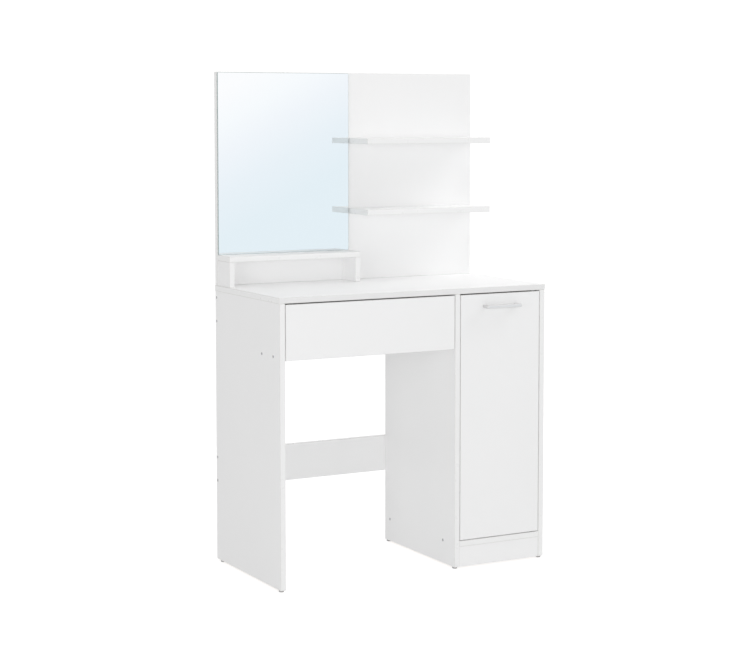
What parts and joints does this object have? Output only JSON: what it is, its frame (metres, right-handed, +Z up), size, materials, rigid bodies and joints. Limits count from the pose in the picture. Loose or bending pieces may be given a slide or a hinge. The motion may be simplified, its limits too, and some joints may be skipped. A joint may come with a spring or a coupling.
{
  "type": "vanity table with mirror",
  "caption": "White faced-board vanity table with a drawer, a cupboard with a pivot-hung door, a tall frameless mirror on a back board, display shelves and a low riser.",
  "frame": {"origin": "on the floor, under the middle of the whole bounding box, handle included", "axes": "+Z up, +Y towards the back, +X to the right as the drawer is faced"},
  "size_m": [0.8, 0.424, 1.327],
  "materials": {
    "faced_board": "white melamine-faced particle board, fine satin, with white plastic edge banding",
    "hardboard": "thin hardboard, white-painted face",
    "mirror": "silvered float glass",
    "foam_tape": "double-sided foam tape",
    "zinc_steel": "bright zinc plating",
    "cam_zinc": "die-cast zinc, matt",
    "beech": "bare fluted beech dowel",
    "runner_white": "white powder coat on steel",
    "nylon": "moulded nylon",
    "handle_silver": "satin silver plating",
    "magnet": "dark ferrite and plain pole plates",
    "glide_grey": "moulded plastic glide"
  },
  "bodies": {
    "frame": {"desktop": "faced_board", "left_side_panel": "faced_board", "middle_panel": "faced_board", "right_side_panel": "faced_board", "upper_back_rail": "faced_board", "lower_back_rail": "faced_board", "under_drawer_rail": "faced_board", "cupboard_bottom_board": "faced_board", "kickboard": "faced_board", "cupboard_back_board": "hardboard", "cupboard_shelf": "faced_board", "shelf_pins": "zinc_steel", "glide_feet": "glide_grey", "mirror_back_board": "faced_board", "shelf_back_board": "faced_board", "mirror_glass": "mirror", "mirror_tape": "foam_tape", "upper_display_shelf": "faced_board", "lower_display_shelf": "faced_board", "riser_top_board": "faced_board", "riser_left_side": "faced_board", "riser_right_side": "faced_board", "frame_screws": "zinc_steel", "back_board_screws": "zinc_steel", "shelf_screws": "zinc_steel", "wood_dowels": "beech", "cam_bolts": "zinc_steel", "cam_locks": "cam_zinc", "left_cabinet_runner": "runner_white", "right_cabinet_runner": "runner_white", "cabinet_runner_screws": "zinc_steel", "upper_pivot_bush": "nylon", "lower_pivot_bush": "nylon", "magnetic_catch": "nylon", "catch_magnets": "magnet", "catch_screws": "zinc_steel"},
    "drawer": {"drawer_front": "faced_board", "drawer_left_side": "faced_board", "drawer_right_side": "faced_board", "drawer_back_board": "faced_board", "drawer_bottom_board": "hardboard", "drawer_cam_bolts": "zinc_steel", "drawer_cam_locks": "cam_zinc", "drawer_screws": "zinc_steel", "left_drawer_runner": "runner_white", "right_drawer_runner": "runner_white", "drawer_runner_screws": "zinc_steel"},
    "door": {"cupboard_door": "faced_board", "door_handle": "handle_silver", "handle_screws": "zinc_steel", "upper_pivot_pin": "zinc_steel", "lower_pivot_pin": "zinc_steel", "strike_plate": "zinc_steel"},
    "front_left_roller": {"front_left_roller": "nylon"},
    "front_right_roller": {"front_right_roller": "nylon"},
    "rear_left_roller": {"rear_left_roller": "nylon"},
    "rear_right_roller": {"rear_right_roller": "nylon"}
  },
  "joints": [
    {"name": "drawer_slide", "type": "slide", "parent": "frame", "child": "drawer", "axis": [0, -1, 0], "range_m": [0, 0.25]},
    {"name": "door_swing", "type": "hinge", "parent": "frame", "child": "door", "pos_m": [0.364, -0.1805, 0.4], "axis": [0, 0, 1], "range_deg": [0, 130]},
    {"name": "front_left_roller_turn", "type": "hinge", "parent": "frame", "child": "front_left_roller", "pos_m": [-0.3775, -0.159, 0.6233], "axis": [1, 0, 0], "continuous": true},
    {"name": "front_right_roller_turn", "type": "hinge", "parent": "frame", "child": "front_right_roller", "pos_m": [0.1105, -0.159, 0.6233], "axis": [1, 0, 0], "continuous": true},
    {"name": "rear_left_roller_turn", "type": "hinge", "parent": "drawer", "child": "rear_left_roller", "pos_m": [-0.3777, 0.166, 0.6218], "axis": [1, 0, 0], "continuous": true},
    {"name": "rear_right_roller_turn", "type": "hinge", "parent": "drawer", "child": "rear_right_roller", "pos_m": [0.1107, 0.166, 0.6218], "axis": [1, 0, 0], "continuous": true}
  ],
  "couplings": [
    {"joint": "front_left_roller_turn", "follows": "drawer_slide", "rad_per_m": 111.11},
    {"joint": "front_right_roller_turn", "follows": "drawer_slide", "rad_per_m": 111.11},
    {"joint": "rear_left_roller_turn", "follows": "drawer_slide", "rad_per_m": 111.11},
    {"joint": "rear_right_roller_turn", "follows": "drawer_slide", "rad_per_m": 111.11}
  ]
}
